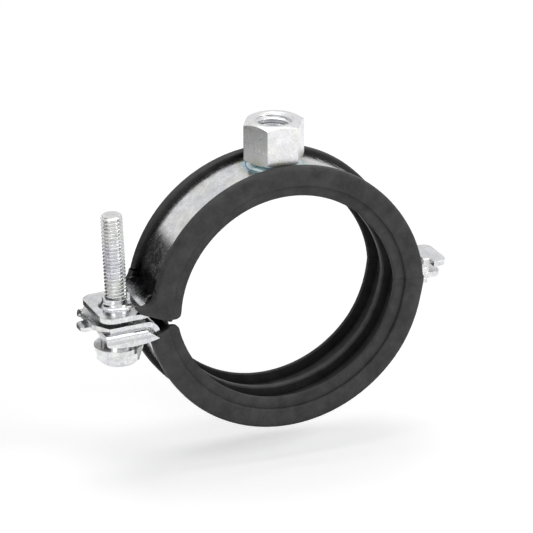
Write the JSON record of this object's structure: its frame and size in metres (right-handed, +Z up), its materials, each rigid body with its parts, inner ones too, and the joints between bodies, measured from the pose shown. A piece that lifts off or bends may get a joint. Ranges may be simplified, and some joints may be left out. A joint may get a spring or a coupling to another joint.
{
  "type": "rubber lined pipe clamp",
  "caption": "Two-part pipe clamp ring of plated strip with ribbed rubber lining, a threaded nut on its crown and a closing screw at one side.",
  "frame": {"origin": "on the pipe axis at mid width, level with the closing plane between the flanges at the screw", "axes": "+Z up along the hanging rod, +Y along the pipe, +X towards the hinge; the closing screw is at -X"},
  "size_m": [0.1043, 0.0246, 0.0846],
  "materials": {
    "zinc_strip": "bright zinc plate, mottled by handling",
    "lining_rubber": "matt extruded EPDM",
    "zinc_nut": "bright zinc plate over turned steel",
    "zinc_screw": "bright zinc plate over rolled thread",
    "zinc_washer": "bright zinc plate over stamped sheet"
  },
  "bodies": {
    "upper_half": {"upper_band": "zinc_strip", "upper_lining": "lining_rubber", "connection_nut": "zinc_nut"},
    "lower_half": {"lower_band": "zinc_strip", "lower_lining": "lining_rubber"},
    "washer": {"retaining_washer": "zinc_washer"},
    "screw": {"closing_screw": "zinc_screw"}
  },
  "joints": [
    {"name": "screw_travel", "type": "slide", "parent": "upper_half", "child": "washer", "axis": [-0.0436, 0, 0.999], "range_m": [-0.02, 0]},
    {"name": "screw_turn", "type": "hinge", "parent": "washer", "child": "screw", "pos_m": [-0.045, 0, 0], "axis": [-0.0436, 0, 0.999], "range_deg": [-7200, 0]},
    {"name": "half_hinge", "type": "hinge", "parent": "upper_half", "child": "lower_half", "pos_m": [0.0415, 0, 0.0031], "axis": [0, -1, 0], "range_deg": [0, 12.02]}
  ],
  "couplings": [
    {"joint": "screw_turn", "follows": "screw_travel", "rad_per_m": 6283.2},
    {"joint": "half_hinge", "follows": "screw_travel", "rad_per_m": -10.493}
  ]
}
